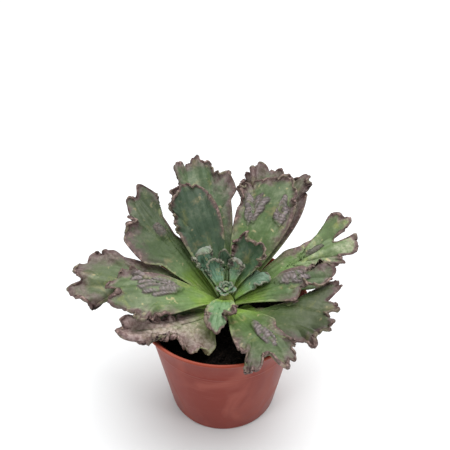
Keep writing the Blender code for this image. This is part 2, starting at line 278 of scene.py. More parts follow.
# A lighter, more orange band at the top of the lip: painted light, a glow and highlight along the lip
# painted into its colour.
painted_lip_glow = span(tree, height, POT_HEIGHT - 1.5 * LIP_HEIGHT, POT_HEIGHT - 0.4 * LIP_HEIGHT, 0.0, 0.3)
colour = blend_colour(tree, painted_lip_glow, colour, PAINTED_LIP_GLOW)
tree.links.new(colour, shader.inputs["Base Color"])
tree.links.new(span(tree, painted_sheen_mask, 0.0, 1.0, 0.36, 0.52), shader.inputs["Roughness"])
dent(tree, shader, grain(tree, where, 400, detail=2), 0.12, 0.0002)

pot = turned_piece("nursery_pot", pot_profile(), POT_STEPS, plastic)
drills = []
for hole in range(DRAIN_HOLES):
    angle = 2 * math.pi * (hole + FIRST_DRAIN) / DRAIN_HOLES
    shape = bmesh.new()
    bmesh.ops.create_cone(
        shape, cap_ends=True, segments=32, radius1=DRAIN_RADIUS, radius2=DRAIN_RADIUS, depth=4 * FLOOR)
    drill = add_piece(f"drain_drill_{hole}", built_mesh("drain_drill", shape))
    drill.location = (DRAIN_RING * math.cos(angle), DRAIN_RING * math.sin(angle), 0)
    drill.rotation_euler.z = angle
    cut = pot.modifiers.new(f"drain_{hole}", "BOOLEAN")
    cut.operation = "DIFFERENCE"
    cut.object = drill
    drills.append(drill)
apply_modifiers(pot)
for drill in drills:
    bpy.data.objects.remove(drill)
pot.data.shade_smooth()
pot.data.set_sharp_from_angle(angle=math.radians(50))
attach(pot, "root")
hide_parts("pot")


# POTTING SOIL
# Black peat with crumbs and a few fibres, a finger's width under the rim, with
# low lumps.  It fills the pot down to its floor.

SOIL_BELOW_RIM = 0.013
SOIL_RINGS = 90
SOIL_STEPS = 260
LUMPS_FADE = 0.002
CRUMBS = 900
CRUMB_SEED = 4
SMALLEST_CRUMB = 0.0004
CRUMB_RANGE = 0.0012
BLACK_PEAT = (0.0018, 0.0014, 0.0013)
BROWN_PEAT = (0.013, 0.009, 0.007)
PEAT_FIBRE = (0.06, 0.038, 0.024)


def soil_waves(x, y):
    """The soil's long lumps, in metres, at a place given in metres."""
    return 0.0012 * (np.sin(430 * x + 1.3) * np.cos(510 * y) + 0.6 * np.sin(900 * x - 700 * y + 0.4))


def rough(x, y, size, seed):
    """Sums of turned waves that look like rough ground, about -1 to 1."""
    total = np.zeros_like(x)
    chance = np.random.default_rng(seed)
    for _ in range(14):
        turn, shift, pitch = chance.uniform(0, math.pi), chance.uniform(0, 6.3), chance.uniform(0.6, 1.7)
        total += np.sin((x * math.cos(turn) + y * math.sin(turn)) * pitch / size + shift)
    return total / 5


peat, tree, shader = new_material("peat", Roughness=0.95, Specular_IOR_Level=0.08)
where = add_node(tree, "ShaderNodeTexCoord").outputs["Object"]
grit = grain(tree, where, 900, detail=4, roughness=0.7)
colour = blend_colour(tree, span(tree, grit, 0.42, 0.66), BLACK_PEAT, BROWN_PEAT)
fibre = span(tree, grain(tree, where, 260, detail=2, warp=1.5, stretch=(1, 3.5, 1)), 0.66, 0.72)
colour = blend_colour(tree, fibre, colour, PEAT_FIBRE)
tree.links.new(colour, shader.inputs["Base Color"])
dent(tree, shader, grit, 0.6, 0.0006)

top = POT_HEIGHT - SOIL_BELOW_RIM
edge = pot_wall_radius(top) - WALL - 0.2 * MM
profile = [(edge * math.sqrt(ring / SOIL_RINGS), top) for ring in range(SOIL_RINGS + 1)]
profile += [
    (pot_wall_radius(INNER_WALL_STARTS) - WALL - 0.4 * MM, INNER_WALL_STARTS),
    (BASE_RADIUS - 1.3 * MM, FLOOR + 0.3 * MM),
    (0.0, FLOOR + 0.3 * MM),
]
soil = turned_piece("peat_fill", profile, SOIL_STEPS, peat)
apply_modifiers(soil)
points = np.array([vertex.co for vertex in soil.data.vertices])
x, y = points[:, 0], points[:, 1]
on_top = points[:, 2] > top - MM
inside = np.clip((edge - np.hypot(x, y)) / LUMPS_FADE, 0, 1)
lumps = soil_waves(x, y) + 0.0007 * rough(x, y, 0.0011, 1) + 0.00035 * rough(x, y, 0.00045, 2)
points[:, 2] += on_top * inside * lumps
soil.data.vertices.foreach_set("co", points.ravel())
soil.data.shade_smooth()
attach(soil, "root")
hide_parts("potting_soil")

chance = np.random.default_rng(CRUMB_SEED)
shape = bmesh.new()
for _ in range(CRUMBS):
    away, turn = edge * math.sqrt(chance.uniform(0.03, 0.97)), chance.uniform(0, 2 * math.pi)
    x, y = away * math.cos(turn), away * math.sin(turn)
    size = SMALLEST_CRUMB + CRUMB_RANGE * chance.uniform() ** 3
    z = top + float(soil_waves(x, y)) + 0.2 * size
    ball = bmesh.ops.create_icosphere(shape, subdivisions=2 if size > 0.0008 else 1, radius=size)["verts"]
    squash = chance.uniform(0.5, 1.3, 3)
    shift = chance.uniform(0, 6.3, 3)
    for vertex in ball:
        knobbly = 1 + 0.25 * math.sin(vertex.co.x / size * 2.2 + shift[0]) * math.sin(
            vertex.co.y / size * 2.6 + shift[1])
        vertex.co = [vertex.co[axis] * squash[axis] * knobbly for axis in range(3)]
        vertex.co.x += x
        vertex.co.y += y
        vertex.co.z += z
crumbs = add_piece("peat_crumbs", built_mesh("peat_crumbs", shape), peat)
crumbs.data.shade_smooth()
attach(crumbs, "root")
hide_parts("potting_soil")


# STEM
# The short corky stem that stands in the soil and carries the leaves.  It hardly
# shows, so its plain turned form stays and only its skin is finished.

GREEN_BARK = (0.15, 0.23, 0.04)
YELLOW_BARK = (0.26, 0.27, 0.07)

bark, tree, shader = new_material("stem_skin", Roughness=0.75)
where = add_node(tree, "ShaderNodeTexCoord").outputs["Object"]
rings = grain(tree, where, 160, detail=4, stretch=(0.5, 0.5, 3))
colour = blend_colour(tree, span(tree, rings, 0.35, 0.7), GREEN_BARK, YELLOW_BARK)
tree.links.new(colour, shader.inputs["Base Color"])
dent(tree, shader, rings, 0.7, 0.0008)
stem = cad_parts["stem"]
stem.material_slots[0].link = "OBJECT"
stem.material_slots[0].material = bark


# ROSETTE LEAVES
# Fleshy blades that grow from the stem on narrow necks.  Each is grey-green with a
# waxy bloom, crimped all round its outer margin, and some carry warty lilac ridges.
# Measures are in mm here, up to the point where a mesh takes them.

# Where the stem stands, its radii at heights over the pot's rim, and how a leaf sits on it.
STEM_X = 2.0
RIM_UP = 92.0
STEM_HEIGHTS = (-6.0, 0.0, 5.0)
STEM_RADII = (6.5, 5.5, 2.8)
OFF_STEM = 0.3
BASE_HALF = 1.0

# The sheet that a leaf is bent from, and its flesh.  The tip is rounded from the hub on.
RIB_STEPS = 96
HUB = 0.45
AT_EDGE = 0.999
LEAF_CELL = 0.6
INNER_CELL = 0.5
PROBE = 0.002
LEAF_FLESH = 3.0
INNER_FLESH = 2.0
EDGE_FLESH = 0.9
ROOT_SHARE = 0.65
FOLD_RADIUS = 2.0

# The margin's ripples, crimps and curl, and the cord and the knobs that thicken it.
FRILL_GROWS = 0.14
FULL_FRILL_WIDTH = 10.0
MARGIN_SLACK = 1.25
SECOND_RIPPLE = 0.25
SCALLOP = 0.4
CRIMP_STEP = 0.17
CRIMP_LIFTS = 5.5
CRIMP_PUSHES = 5
CURL_WIDTH = 4.5
STRAIGHT = 1e-3
RIM_CORD = 0.35
CORD_WIDTH = 1.2
EDGE_BULGE = 0.4
KNOB = 1.7
KNOBBY_REACH = 5

# The warts' fingers, and the colours of the skin that every leaf has.
WART_SEED = 11
FINGER_LENGTHS = (5.0, 16.0)
FINGER_GAPS = (1.2, 2.0)
DRY_CREAM = (0.32, 0.28, 0.13)
PALE_SCAR = (0.38, 0.33, 0.17)
YELLOW_BLOTCH = (0.25, 0.27, 0.08)
DEEP_PURPLE = (0.125, 0.062, 0.068)
PALE_PURPLE = (0.230, 0.165, 0.165)
WART_CREASE_SHADE = (0.060, 0.050, 0.046)
LIT_LILAC_WART = (0.235, 0.185, 0.205)
BROWN_WART = (0.125, 0.082, 0.076)


def leaf(az, up, length, width, rise, tip, **more):
    """One leaf's shape: mm and degrees, with up as the height of its base over the pot's rim."""
    shape = dict(az=az, up=up, length=length, width=width, rise=rise, tip=tip, seed=1)
    shape.update(turn=0.0, roll=0.0, hook=0.0)
    shape.update(neck=3.2, widest=0.74, shoulder=0.38, flare=0.65, arch=0.13, lean=0.0, square=5.0)
    shape.update(cup=0.1, fold=0.0, furrow=0.28, warts=())
    shape.update(frill=2.2, left=0.45, right=0.45, wave=22.0, phase=0.2, crimp=1.0, curl=1.0, lobes=())
    shape.update(flush=0.5, shade=0.5, cool=0.3, wax=1.0)
    shape.update(more)
    return shape


# Each leaf's rib: where it points, how high it starts, its length, its rise at the base and at
# the tip, and its turn, roll and hook on the way.  Its outline: width, neck, widest place,
# shoulder, flare, arch, lean, and how square the tip is.  Its form: cup, fold, furrows and warts.
# Its margin: frill, with where it begins on the left and right, wave and phase, crimps, curl and
# lobes.  Its skin: purple flush, lightness (its shade, partly the leaf's own tone and partly painted
# shade on its outer part), share of cool green, and wax.
# A wart: place along and across the blade, half lengths, height, rows of fingers.
# A lobe: place round the margin, half width, out, up; a bay has a negative out.
LEAVES = {
    "leaf_01": leaf(
        107, -8.9, 110, 43, 48, 36, neck=2.8, cup=0.25, phase=0.4, arch=0.06, shoulder=0.15, left=0.6,
        right=0.78, flush=0.6, shade=0.42, cool=0.5, wax=1.6, seed=2,
        lobes=((0.40, 9, -7, 0), (0.49, 14, -4, 0), (0.655, 11, 6, 0), (0.455, 5, 3, 2),
               (0.512, 2.5, 3, 1), (0.58, 7, -3, 0))),
    "leaf_02": leaf(
        117, -1.5, 84, 34, 50, 42, roll=-8, cup=0.3, frill=1.5, phase=1.4, left=0.6, right=0.9,
        crimp=0.7, flush=0.1, shade=0.1, cool=0.9, seed=3,
        lobes=((0.43, 5, 2, 2), (0.46, 3, -2, 0))),
    "leaf_03": leaf(
        61, -10, 112, 46, 46, 34, neck=2.8, lean=-0.12, roll=8, cup=0.2, phase=2.0, arch=0.08,
        crimp=0.6, shoulder=0.15, left=0.6, right=0.85, flush=0.9, shade=0.4, cool=0.1, seed=4,
        lobes=((0.50, 13, -8, 0), (0.35, 10, 6, 0), (0.415, 6, 5, 3), (0.57, 5, 3, 2))),
    "leaf_04": leaf(
        57, -3, 95, 42, 49, 40, roll=4, cup=0.15, frill=1.8, phase=3.0, shoulder=0.2, left=0.65,
        right=0.85, flush=0.5, shade=0.5, cool=0.3, seed=5,
        warts=((0.68, 0.42, 0.13, 0.38, 3.0, 3), (0.74, -0.6, 0.12, 0.25, 3.0, 2)),
        lobes=((0.40, 8, 5, 0), (0.45, 9, -5, 0))),
    "leaf_05": leaf(
        150, -4.5, 99, 32, 41, 36, turn=-18, roll=-8, lean=0.2, phase=0.6, left=0.8, right=1.0,
        shoulder=0.5, flush=0.42, shade=0.16, cool=0.25, seed=6,
        warts=((0.62, 0.0, 0.05, 0.30, 2.2, 1),),
        lobes=((0.31, 16, 8, 0), (0.50, 4, -5, 0), (0.53, 4, 4.5, 2), (0.435, 3, -4, 0),
               (0.562, 4, -1.5, 0), (0.468, 4, 0, 2), (0.405, 4, 1, 1), (0.65, 20, -5, 0))),
    "leaf_06": leaf(
        182, -8, 100, 43, 33, 4, roll=-22, frill=2.8, phase=0.6, left=0.5, right=0.85, flush=0.9,
        shade=0.42, cool=0.1, seed=7,
        lobes=((0.462, 3.5, 5, 3), (0.43, 4, 4, -2), (0.38, 8, -5, 0), (0.52, 4, 3, 2),
               (0.495, 4, -3, 0), (0.70, 14, -3, 0), (0.59, 11, 2.5, 0))),
    "leaf_07": leaf(
        195, -0.5, 74, 37, 33, 5, roll=-12, lean=0.12, frill=2.2, phase=2.2, left=0.55, right=0.8,
        flush=0.5, shade=0.55, cool=0.2, seed=8,
        warts=((0.55, -0.22, 0.20, 0.55, 3.5, 5), (0.76, -0.68, 0.06, 0.20, 2.5, 2)),
        lobes=((0.56, 10, 6, 0), (0.505, 3.5, -7, -1), (0.48, 4, 3, 3), (0.39, 5, 4, -2))),
    "leaf_08": leaf(
        199, -11, 50, 24, 18, 8, frill=1.5, crimp=0.3, flush=0.2, shade=0.4, cool=0.0, seed=9),
    "leaf_09": leaf(
        236, -6.5, 75, 26, 19, 5, turn=-58, lean=0.25, cup=0.0, fold=18, widest=0.38, shoulder=0.3,
        left=0.3, right=0.4, wave=15, frill=3.0, crimp=1.5, flush=1.8, shade=0.95, cool=0.1, wax=3.0,
        seed=10,
        lobes=((0.18, 9, 7, 0), (0.35, 12, -8, 0), (0.44, 3, -4, 0), (0.48, 3, 3, 5), (0.40, 3, 4, 5),
               (0.54, 3, 2, 4), (0.60, 3, 2, 4), (0.57, 2.5, -3, -2))),
    "leaf_10": leaf(
        261, 3.1, 36, 22, 42, -30, roll=10, cup=0.3, frill=2.0, flush=0.3, shade=1.1, cool=0.7, seed=11,
        crimp=0.8,
        lobes=((0.62, 5, -3, 3), (0.435, 4, -4, 0), (0.38, 3, -4, 3))),
    "leaf_11": leaf(
        297, -4, 71, 38, 26, -2, shoulder=0.1, arch=0.05, flush=0.6, shade=0.37, cool=0.2, seed=12,
        left=0.75, right=0.65, crimp=1.5,
        warts=((0.58, 0.12, 0.20, 0.24, 2.6, 3),),
        lobes=((0.30, 14, -6, 0), (0.40, 7, -3, 0), (0.55, 4, -8, 0), (0.615, 6, 4, -2),
               (0.50, 4, 2, -2), (0.475, 2.5, -2, 0))),
    "leaf_12": leaf(
        338, -9, 70, 48, 28, 0, roll=9, frill=1.8, crimp=0.8, shoulder=0.05, arch=0.03, left=0.75,
        right=0.8, flush=0.4, shade=0.14, cool=0.0, seed=13,
        lobes=((0.18, 20, -15, 0), (0.30, 4, 2, -1), (0.350, 7, 9, 0), (0.398, 3, -3, 0),
               (0.49, 3.5, -3, 0), (0.45, 4.5, 1, 3), (0.535, 4.5, 2, 3), (0.59, 6, -5, 0),
               (0.633, 5, 4, 0))),
    "leaf_13": leaf(
        -2.5, -2, 72, 27, 28, 8.5, roll=8, frill=1.8, left=0.75, right=0.8, flush=0.5, shade=0.38,
        cool=0.3, seed=14,
        warts=((0.58, 0.44, 0.17, 0.42, 3.0, 3),),
        lobes=((0.60, 13, -10, 0), (0.53, 7, -5, 0), (0.29, 12, 3, 0), (0.455, 3, 4, 4))),
    "leaf_14": leaf(
        22, -6, 91, 34, 30, 18, roll=18, lean=-0.15, widest=0.98, shoulder=0.1, flare=2.6, arch=0.05,
        frill=1.5, left=0.85, right=0.82, flush=0.35, shade=0.9, cool=0.2, wax=1.6, seed=15, crimp=1.2,
        warts=((0.69, 0.05, 0.11, 0.15, 1.8, 1),),
        lobes=((0.39, 14, -3, 0), (0.453, 5, 9, 4), (0.475, 3, 4, 0), (0.502, 3.5, -7, -2),
               (0.54, 5, 5, 2), (0.58, 4, -2, 0), (0.64, 8, 3, 0), (0.168, 21, 6, 1))),
    "inner_leaf_1": leaf(
        137, 1, 45, 17, 57, 54, neck=2.0, lean=0.1, cup=0.5, frill=1.4, wave=10, flare=1.6, crimp=0.6,
        curl=0.9, furrow=0.25, flush=0.15, shade=1.0, cool=0.8, hook=125, seed=21),
    "inner_leaf_2": leaf(
        51, 1.6, 48, 31, 50, 44, neck=2.0, lean=-0.1, cup=0.6, frill=1.2, wave=20, crimp=0.25,
        widest=0.8, shoulder=0.15, square=3.5, flare=1.0, furrow=0.1, flush=0.3, shade=0.42, cool=0.9,
        hook=80, seed=22),
    "inner_leaf_3": leaf(
        130, 4.1, 29, 15, 60, 56, neck=2.0, cup=0.5, frill=1.1, wave=9, crimp=0.5, curl=0.9, flare=1.1,
        furrow=0.25, phase=2.6, flush=0.15, shade=0.85, cool=0.9, hook=95, seed=23),
    "inner_leaf_4": leaf(
        57, 4.2, 30, 13, 60, 56, neck=1.8, cup=0.5, frill=1.1, wave=9, crimp=0.45, curl=0.9, flare=2.4,
        furrow=0.25, flush=0.25, shade=0.75, cool=0.7, hook=120, seed=24),
    "inner_leaf_5": leaf(
        12, 0.5, 31, 14, 52, 30, neck=1.6, frill=0.8, wave=16, crimp=0.3, furrow=0.1, flush=0.0,
        shade=0.6, cool=0.4, hook=-80, seed=25),
    "inner_leaf_6": leaf(
        94, 2, 33, 9, 59, 57, neck=1.6, frill=0.8, wave=12, crimp=0.35, flare=1.6, furrow=0.1,
        flush=0.0, shade=0.5, cool=0.3, hook=60, seed=26),
}


def stem_radius(up):
    """The stem's radius at a height over the pot's rim."""
    return float(np.interp(up, STEM_HEIGHTS, STEM_RADII))


def ease(amount):
    """Smooths an amount that goes from 0 to 1, and holds it there beyond."""
    amount = np.clip(amount, 0.0, 1.0)
    return amount * amount * (3 - 2 * amount)


def rib(shape):
    """The leaf's rib: places along it, its points, and its forward, left and upward directions."""
    places = np.linspace(0, 1, RIB_STEPS)
    heading = np.radians(shape["az"] + shape["turn"] * places)
    climb = np.radians(
        shape["rise"] + (shape["tip"] - shape["rise"]) * places
        + shape["hook"] * ease((places - 0.6) / 0.4))
    level = np.cos(climb)
    forward = np.stack([level * np.cos(heading), level * np.sin(heading), np.sin(climb)], 1)
    step = shape["length"] / (RIB_STEPS - 1)
    points = np.vstack([np.zeros(3), np.cumsum((forward[1:] + forward[:-1]) / 2 * step, axis=0)])
    start = stem_radius(shape["up"]) + OFF_STEM + BASE_HALF * math.sin(math.radians(shape["rise"]))
    az = math.radians(shape["az"])
    points += (STEM_X + start * math.cos(az), start * math.sin(az), RIM_UP + shape["up"])
    left = np.stack([-np.sin(heading), np.cos(heading), np.zeros(RIB_STEPS)], 1)
    upward = np.cross(forward, left)
    roll = np.radians(shape["roll"]) * ease(places / 0.6)[:, None]
    rolled_left = left * np.cos(roll) + upward * np.sin(roll)
    rolled_up = upward * np.cos(roll) - left * np.sin(roll)
    return places, points, forward, rolled_left, rolled_up


def half_width(shape, u):
    """Half the leaf's width at places along it, in mm."""
    grow = ease(u / shape["widest"]) ** shape["flare"]
    past = np.clip((u - shape["widest"]) / max(1 - shape["widest"], 0.03), 0, 1)
    wide = shape["neck"] + (shape["width"] / 2 - shape["neck"]) * grow
    return wide * (1 - shape["shoulder"] * past ** 2)


def way_round_edge(shape, u, v):
    """How near the edge and the tip a place is, 0 to 1, its way round the edge in mm, left side
    first, and the whole way round."""
    side = np.abs(v)
    end = np.clip((u - HUB) / (1 - HUB), 0, 1)
    near = np.maximum(side, end)
    reach = np.maximum(near, 1e-6)
    u_edge = np.where(end > 0, HUB + (1 - HUB) * end / reach, u)
    half_tip = half_width(shape, np.ones(1))[0]
    over_tip = shape["length"] + half_tip * (1 - side / reach)
    way = np.where(side >= end, u_edge * shape["length"], over_tip)
    whole = 2 * (shape["length"] + half_tip)
    return near, end, np.where(v >= 0, way, whole - way), whole


def rounded(shape, u, v):
    """The same place after the square tip of the sheet has been drawn in to a rounded one."""
    side, end = np.abs(v), np.clip((u - HUB) / (1 - HUB), 0, 1)
    power = shape["square"]
    drawn = np.maximum(side, end) / np.maximum((side ** power + end ** power), 1e-9) ** (1 / power)
    return np.where(end > 0, HUB + (1 - HUB) * end * drawn, u), v * np.where(end > 0, drawn, 1)


def rim_distance(shape, u, v):
    """How far a place lies from the margin, in mm."""
    side = (1 - np.abs(v)) * half_width(shape, u)
    return np.minimum(side, (1 - u) * shape["length"])


def ruffles(shape, way, whole):
    """Crimps round a margin, lobe after bay: how far each stands out and lifts, in mm, and its roll."""
    chance = np.random.default_rng(shape["seed"])
    total = np.zeros((len(way), 3))
    for pitch, size in ((CRIMP_STEP * shape["wave"], 1.0), (0.4 * CRIMP_STEP * shape["wave"], 0.35)):
        count = int(1.3 * whole / pitch)
        places = np.cumsum(chance.uniform(0.6, 1.4, count)) * pitch
        lobes = chance.uniform((0.0, 0.3, -0.15), (0.8, 1.5, 0.25), (count, 3))
        bays = chance.uniform((-1.0, -1.2, 0.15), (-0.2, 0.0, 0.55), (count, 3))
        crimps = np.where(np.arange(count)[:, None] % 2, lobes, bays)
        crimps[:, 1:] *= chance.choice((-1.0, 1.0, 1.0), count)[:, None]
        after = np.clip(np.searchsorted(places, way), 1, count - 1)
        part = ease((way - places[after - 1]) / (places[after] - places[after - 1]))
        onto_lobe = after % 2 == 1
        lobe, bay = np.where(onto_lobe, after, after - 1), np.where(onto_lobe, after - 1, after)
        bulge = (1 - (1 - np.where(onto_lobe, part, 1 - part)) ** 2)[:, None]
        total += size * (crimps[bay] + (crimps[lobe] - crimps[bay]) * bulge)
    return total.T


def margin_form(shape, u, v, half):
    """What the margin's ripples, crimps, curl and lobes do to the blade: lift and push out, in mm,
    and where its knobs are, 0 to 1."""
    near, _, way, whole = way_round_edge(shape, u, v)
    begins = np.where(v >= 0, shape["left"], shape["right"])
    started = ease((np.minimum(way, whole - way) / shape["length"] - begins) / FRILL_GROWS)
    full = started * np.minimum(half / FULL_FRILL_WIDTH, 1)
    size = shape["frill"] * full * ease((near - 0.4) / 0.6) ** 1.2
    turn = 2 * np.pi * way / shape["wave"] + shape["phase"]
    turn = turn + 0.6 * np.sin(2 * np.pi * way / (2.7 * shape["wave"]) + 1.3 * shape["phase"])
    lift = size * (np.sin(turn) + SECOND_RIPPLE * np.sin(1.9 * turn + 1.7))
    outward = SCALLOP * size * np.cos(turn)
    push, raised, rolled = ruffles(shape, way, whole)
    rim = rim_distance(shape, u, v)
    lift = lift + shape["crimp"] * raised * full * ease(1 - rim / CRIMP_LIFTS) * near
    outward = outward + shape["crimp"] * push * full * ease(1 - rim / CRIMP_PUSHES) * near
    strip = np.clip(CURL_WIDTH - rim, 0, CURL_WIDTH)
    bent = shape["curl"] * full * rolled * strip
    bent = np.where(np.abs(bent) < STRAIGHT, STRAIGHT, bent)
    lift = lift + strip * (1 - np.cos(bent)) / bent
    outward = outward + strip * (np.sin(bent) / bent - 1)
    knob = np.clip(push, 0, 1) * full
    for place, reach, out, rise in shape["lobes"]:
        away = (way - place * whole) / reach
        swell = ease((1.4 - np.abs(away)) / 0.8) * near * ease(1.3 - rim / (1.5 * reach + 3))
        outward = outward + out * swell
        lift = lift + rise * swell
        if out > 0 and reach <= KNOBBY_REACH:
            knob = np.maximum(knob, swell)
    return lift, outward, knob


def blade(shape, u, v):
    """A leaf's middle surface at u, 0 to 1 along it, and v, -1 to 1 across it, in mm, with how far
    across each place lies and the knobs of its margin."""
    places, points, forward, left, upward = rib(shape)
    u_round, v_round = rounded(shape, u, v)
    along = u_round * (1 - shape["arch"] * np.abs(v_round) ** 3 * u_round)
    spine, ahead, side_way, up_way = (
        np.stack([np.interp(along, places, table[:, axis]) for axis in range(3)], -1)
        for table in (points, forward, left, upward)
    )
    half = half_width(shape, along) * (1 + shape["lean"] * np.sign(v) * ease(u / 0.4))
    near, end = way_round_edge(shape, u, v)[:2]
    lift, outward, knob = margin_form(shape, u, v, half)
    furrows = np.sin(16.5 * v + 1.5 * shape["phase"]) + 0.8 * np.sin(9.3 * v + 3 * u + shape["seed"])
    lift = lift + shape["furrow"] * furrows * ease(4 * u) * ease(3 - 3 * near)
    lift = lift + shape["cup"] * half * v ** 2 * (1 - 0.5 * ease(u))
    for wart_u, wart_v, long_u, long_v, height, _ in shape["warts"]:
        away = ((u - wart_u) / long_u) ** 2 + ((v - wart_v) / long_v) ** 2
        lift = lift + 0.5 * height * ease(1 - away)
    sideways = np.sqrt(np.abs(v) ** 5 / (np.abs(v) ** 5 + end ** 5 + 1e-9))
    onward = np.sqrt(1 - sideways ** 2)
    across = v_round * half + np.sign(v) * outward * sideways
    fold = np.radians(np.where(v >= 0, shape["fold"], 0.0)) * ease(u / 0.35)
    drop = np.sin(fold) * (np.hypot(across, FOLD_RADIUS) - FOLD_RADIUS)
    across_folded = across * np.cos(fold) + lift * np.sin(fold) * np.sign(v)
    lift_folded = lift * np.cos(fold) - drop
    point = (
        spine + side_way * across_folded[..., None] + up_way * lift_folded[..., None]
        + ahead * (outward * onward)[..., None]
    )
    return point, v_round * half, knob


def warty(shape, u, v):
    """The fingers of tissue that make up the warts: height in mm, cover and crest, 0 to 1."""
    raised, cover, crest = np.zeros_like(u), np.zeros_like(u), np.zeros_like(u)
    half = half_width(shape, u)
    for number, (wart_u, wart_v, long_u, long_v, height, lanes) in enumerate(shape["warts"]):
        chance = np.random.default_rng(WART_SEED + number + shape["seed"])
        mid_half = float(half_width(shape, np.array([wart_u]))[0])
        reach_u, reach_v = long_u * shape["length"], long_v * mid_half
        place_u, place_v = (u - wart_u) * shape["length"], v * half - wart_v * mid_half
        fan = 0.7 + 0.4 * place_u / reach_u
        for lane in range(lanes):
            across = ((lane + 0.5) / lanes * 2 - 1) * reach_v
            room = math.sqrt(max(1 - (across / reach_v) ** 2, 0.3)) * reach_u
            start_u = -room * chance.uniform(0.8, 1.0)
            while start_u < room * 0.7:
                end_u = min(start_u + (chance.uniform(*FINGER_LENGTHS) if lanes > 1 else 2 * room), room)
                bend = chance.uniform(-0.5, 0.5)
                stout = chance.uniform(0.38, 0.50) * min(2 * reach_v / lanes, 6.0) + 0.2
                part = np.clip((place_u - start_u) / (end_u - start_u), 0, 1)
                sway = (across + bend * np.sin(0.5 * place_u + 2 * lane)) * fan
                away = np.hypot(place_u - start_u - part * (end_u - start_u), place_v - sway)
                thick = stout * (0.6 + 0.5 * part)
                dome = np.sqrt(np.clip(1 - (away / thick) ** 2, 0, 1))
                dome = dome * (0.86 + 0.14 * np.sin(2.7 * place_u + 1.5 * place_v + 3 * lane + start_u))
                raised = np.maximum(raised, dome * (0.3 + 0.35 * height))
                crest = np.maximum(crest, dome * (0.45 if lanes == 1 else 1.0))
                covered = ease(2.2 - 1.5 * away / thick) * (0.35 + 0.65 * ease(1.5 * part))
                cover = np.maximum(cover, covered)
                start_u = end_u + chance.uniform(*FINGER_GAPS)
    return raised, cover, crest


def sheet_of_cells(name, rows, columns):
    """A flat slab of cells from -1 to 1 each way, with a line of points round the middle of its rim."""
    shape = bmesh.new()
    bmesh.ops.create_grid(shape, x_segments=columns, y_segments=rows, size=1.0)
    bmesh.ops.solidify(shape, geom=shape.verts[:] + shape.edges[:] + shape.faces[:], thickness=1.0)
    upright = [edge for edge in shape.edges if abs(edge.verts[0].co.z - edge.verts[1].co.z) > 0.5]
    bmesh.ops.subdivide_edges(shape, edges=upright, cuts=1)
    bmesh.ops.recalc_face_normals(shape, faces=shape.faces[:])
    return built_mesh(name, shape)


def store(mesh, name, values):
    """Keeps a value for each point, which the skin's colours read."""
    layer = mesh.attributes.new(name, "FLOAT", "POINT")
    layer.data.foreach_set("value", np.asarray(values, np.float32))


def directions(shape, u, v):
    """Unit directions off the blade's upper face, along it and across it."""
    u_low, u_high = np.clip(u - PROBE, 0, 1), np.clip(u + PROBE, 0, 1)
    v_low, v_high = np.clip(v - PROBE, -1, 1), np.clip(v + PROBE, -1, 1)
    ahead = blade(shape, u_high, v)[0] - blade(shape, u_low, v)[0]
    aside = blade(shape, u, v_high)[0] - blade(shape, u, v_low)[0]
    facing = np.cross(ahead, aside)
    return [way / np.linalg.norm(way, axis=1)[:, None] for way in (facing, ahead, aside)]


def thickness(shape, u, v, flesh, knob):
    """How thick the blade is, in mm: thinner at its root and edges, with a cord and knobs there."""
    thin = np.maximum(np.abs(v), ease((u - 0.7) / 0.3)) ** 2
    root = flesh * (ROOT_SHARE + (1 - ROOT_SHARE) * ease(u / 0.3))
    cord = (RIM_CORD + KNOB * knob) * flesh / LEAF_FLESH * ease((u - 0.4) / 0.3)
    near_rim = np.exp(-(rim_distance(shape, u, v) / CORD_WIDTH) ** 2)
    return root + (EDGE_FLESH - root) * thin + cord * near_rim


def grow_leaf(name, shape, flesh, finish, cell, shift=(0.0, 0.0, 0.0)):
    """Bends a slab of cells into a leaf, gives it flesh and warts, and stores what its skin needs."""
    rows = int(shape["length"] / cell)
    columns = int(shape["width"] * MARGIN_SLACK / cell)
    mesh = sheet_of_cells(name, rows, columns)
    flat = np.empty(len(mesh.vertices) * 3)
    mesh.vertices.foreach_get("co", flat)
    flat = flat.reshape(-1, 3)
    across, onward = flat[:, 0], (flat[:, 1] + 1) / 2
    layer = np.round((flat[:, 2] - flat[:, 2].mean()) * 2)
    # The cells lie closer towards the margins and the tip.
    v = across * (1.35 - 0.35 * np.abs(across))
    u = 1 - (1 - onward) ** 1.25
    point, away, knob = blade(shape, u, v)
    facing, ahead, aside = directions(shape, u, v)
    thick = thickness(shape, u, v, flesh, knob)
    raised, cover, crest = warty(shape, u, v)
    rise = np.where(layer > 0, thick / 2 + raised, -thick / 2) * (layer != 0)
    out = aside * np.where(np.abs(v) > AT_EDGE, np.sign(v), 0)[:, None]
    out = out + ahead * np.where(u > AT_EDGE, 1.0, 0.0)[:, None]
    out = out / np.maximum(np.linalg.norm(out, axis=1), 1e-6)[:, None]
    point = point + facing * rise[:, None] + out * (EDGE_BULGE * thick * (layer == 0))[:, None]
    mesh.vertices.foreach_set("co", ((point + shift) * MM).astype(np.float32).ravel())
    store(mesh, "rim", rim_distance(shape, u, v))
    store(mesh, "along", u)
    store(mesh, "across", away)
    store(mesh, "run", u * shape["length"])
    store(mesh, "wart", np.where(layer > 0, cover, 0))
    store(mesh, "crest", np.where(layer > 0, crest, 0))
    store(mesh, "under", np.where(layer < 0, 1.0, np.where(layer == 0, 0.5, 0.0)))
    for tint in ("flush", "shade", "cool", "wax"):
        store(mesh, tint, np.full(len(u), shape[tint]))
    mesh.materials.append(finish)
    mesh.shade_smooth()
    return mesh


def reading(tree, name):
    """A value that the mesh stores for each point."""
    return add_node(tree, "ShaderNodeAttribute", attribute_name=name).outputs["Fac"]
